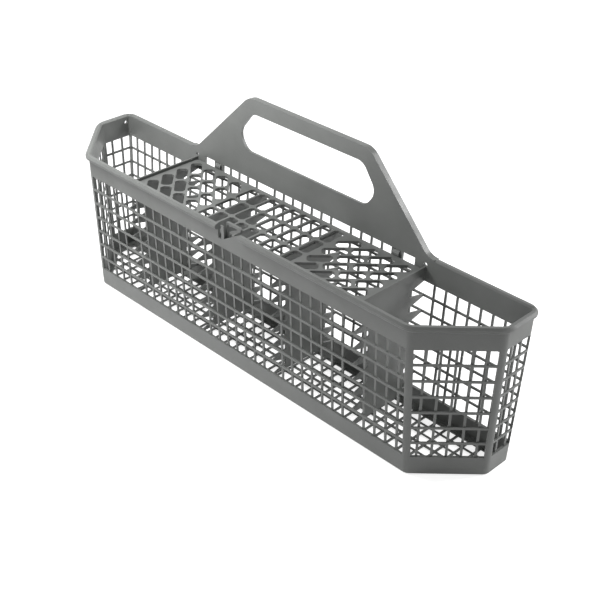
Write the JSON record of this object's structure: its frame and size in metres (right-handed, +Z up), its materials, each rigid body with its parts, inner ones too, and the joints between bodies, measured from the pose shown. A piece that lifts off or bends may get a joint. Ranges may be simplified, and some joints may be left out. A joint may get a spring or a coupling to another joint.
{
  "type": "dishwasher cutlery basket",
  "caption": "Long lattice-walled cutlery basket with cut-off front corners, cross dividers, a tall carrying handle and a slotted lid hinged over the middle compartments.",
  "frame": {"origin": "on the ground under the middle of the tub's base", "axes": "+X along the basket, +Y from the front to the handle side, +Z up"},
  "size_m": [0.501, 0.0974, 0.213],
  "materials": {
    "grey_plastic": "satin moulded plastic"
  },
  "bodies": {
    "basket": {"basket": "grey_plastic"},
    "lid": {"lid": "grey_plastic"}
  },
  "joints": [
    {"name": "lid_hinge", "type": "hinge", "parent": "basket", "child": "lid", "pos_m": [0, 0.04231, 0.1336], "axis": [-1, 0, 0], "range_deg": [0, 92]}
  ]
}
